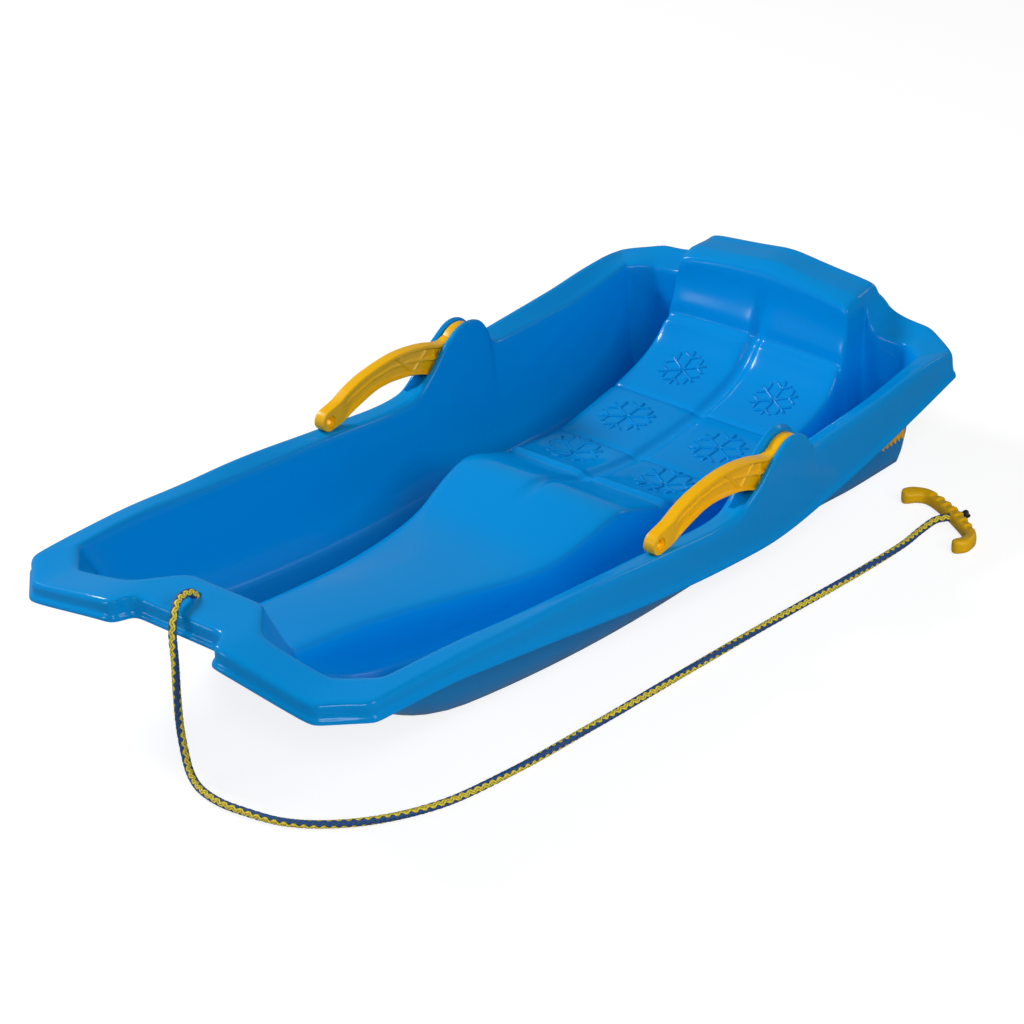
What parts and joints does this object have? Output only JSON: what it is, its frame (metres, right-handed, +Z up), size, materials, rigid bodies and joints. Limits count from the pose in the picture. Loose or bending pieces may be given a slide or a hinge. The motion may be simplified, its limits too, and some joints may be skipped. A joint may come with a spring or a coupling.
{
  "type": "plastic bobsled",
  "caption": "Moulded plastic bobsled with a raised seat and backrest, leg wells, two pivoting brake levers and a tow rope with a handle.",
  "frame": {"origin": "on the ground under the middle of the hull, levers at rest", "axes": "+X toward the nose, +Y toward the rider's left, +Z up"},
  "size_m": [0.8566, 0.4803, 0.1618],
  "materials": {
    "hull_blue": "glossy moulded polyethylene",
    "brake_yellow": "satin moulded plastic",
    "pin_steel": "plain steel",
    "rope_braid": "two-colour braided cord"
  },
  "bodies": {
    "sled": {"hull": "hull_blue", "brake_pin_left": "pin_steel", "brake_pin_right": "pin_steel", "tow_rope": "rope_braid", "nose_knot": "rope_braid", "handle_knot": "rope_braid", "tow_handle": "brake_yellow"},
    "left_brake": {"brake_lever_left": "brake_yellow"},
    "right_brake": {"brake_lever_right": "brake_yellow"}
  },
  "joints": [
    {"name": "left_brake_hinge", "type": "hinge", "parent": "sled", "child": "left_brake", "pos_m": [-0.14297, 0.178, 0.105], "axis": [0, -1, 0], "range_deg": [0, 26]},
    {"name": "right_brake_hinge", "type": "hinge", "parent": "sled", "child": "right_brake", "pos_m": [-0.14297, -0.178, 0.105], "axis": [0, -1, 0], "range_deg": [0, 26]}
  ]
}
